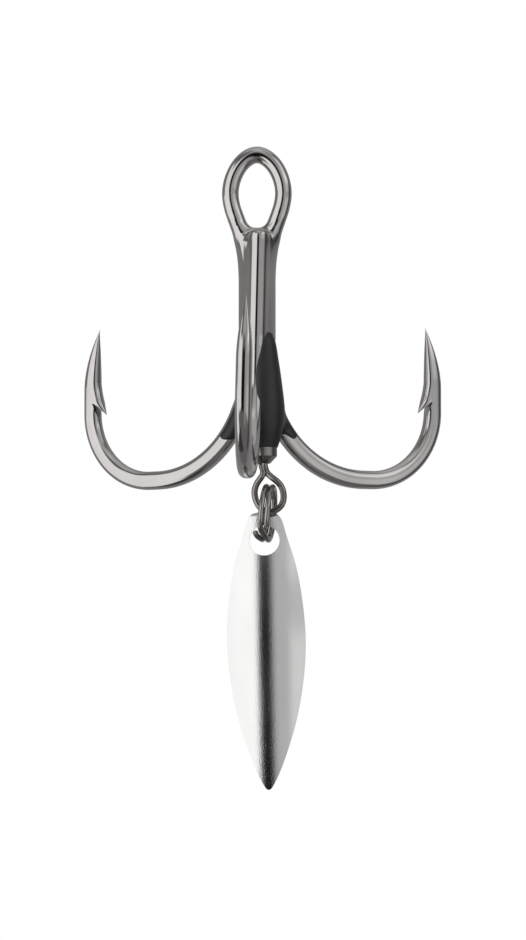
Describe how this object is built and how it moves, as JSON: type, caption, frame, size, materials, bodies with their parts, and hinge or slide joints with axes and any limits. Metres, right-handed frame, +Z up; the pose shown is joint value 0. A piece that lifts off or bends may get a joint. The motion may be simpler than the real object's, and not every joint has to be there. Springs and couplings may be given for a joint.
{
  "type": "bladed treble hook",
  "caption": "Treble hook with a wire eye, brazed shanks and barbed points, and a willow leaf spinner blade hung from a swivel and a split ring in its crotch.",
  "frame": {"origin": "centre of the hook's eye", "axes": "+Z up the treble's shank towards the eye's top, +Y through the eye and away from the front hook, +X to the right seen from the front hook's side"},
  "size_m": [0.0254, 0.0222, 0.0444],
  "materials": {
    "black_nickel_hook": "black nickel plate, glossy",
    "black_nickel_braze": "black nickel plate over braze, glossy",
    "black_resin": "matte black resin",
    "black_nickel_swivel": "black nickel plated brass, satin",
    "swivel_wire": "black nickel plated stainless wire",
    "ring_wire": "black nickel plated spring wire",
    "satin_silver": "satin silver plate with a fine grain"
  },
  "bodies": {
    "treble": {"double_hook": "black_nickel_hook", "single_hook": "black_nickel_hook", "shank_braze": "black_nickel_braze", "resin_keeper": "black_resin", "swivel_barrel": "black_nickel_swivel", "swivel_anchor_eye": "swivel_wire"},
    "swivel": {"swivel_lower_eye": "swivel_wire"},
    "ring": {"split_ring": "ring_wire"},
    "blade": {"spinner_blade": "satin_silver"}
  },
  "joints": [
    {"name": "swivel_spin", "type": "hinge", "parent": "treble", "child": "swivel", "pos_m": [0.00045, -0.00026, -0.018], "axis": [0, 0, 1], "continuous": true},
    {"name": "ring_swing", "type": "hinge", "parent": "swivel", "child": "ring", "pos_m": [0.00076, -0.00026, -0.02205], "axis": [1, 0, 0], "range_deg": [-80, 40]},
    {"name": "blade_swing", "type": "hinge", "parent": "ring", "child": "blade", "pos_m": [0.00059, -0.00026, -0.0239], "axis": [0, 1, 0], "range_deg": [-85, 85]}
  ]
}
